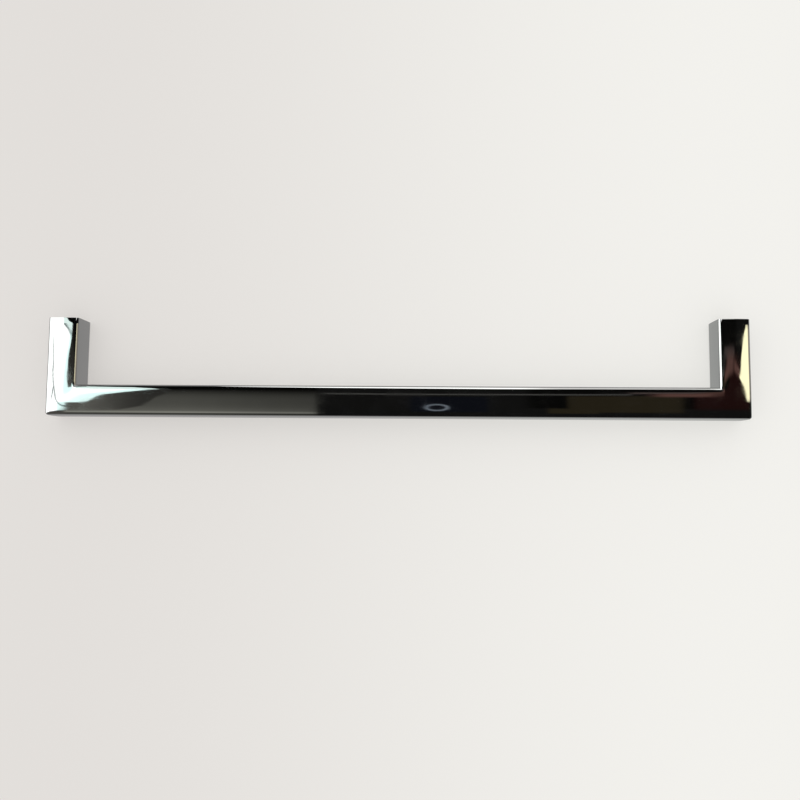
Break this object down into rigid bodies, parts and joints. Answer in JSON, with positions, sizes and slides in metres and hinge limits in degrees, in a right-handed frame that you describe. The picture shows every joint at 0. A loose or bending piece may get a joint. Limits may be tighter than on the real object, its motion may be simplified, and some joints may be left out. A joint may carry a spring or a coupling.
{
  "type": "d pull handle",
  "caption": "Polished one-piece D pull handle of square section: a straight bar on two legs, with a tapped fixing hole in each foot.",
  "frame": {"origin": "on the mounting face, midway between the two fixing holes", "axes": "+X along the bar, +Y into the door or drawer front that the handle is fixed to, +Z along the section's depth, with the bar standing off towards -Y"},
  "size_m": [0.201, 0.0284, 0.009],
  "materials": {
    "polished_chrome": "mirror-polished plating"
  },
  "bodies": {
    "root": {"handle_casting": "polished_chrome"}
  },
  "joints": []
}
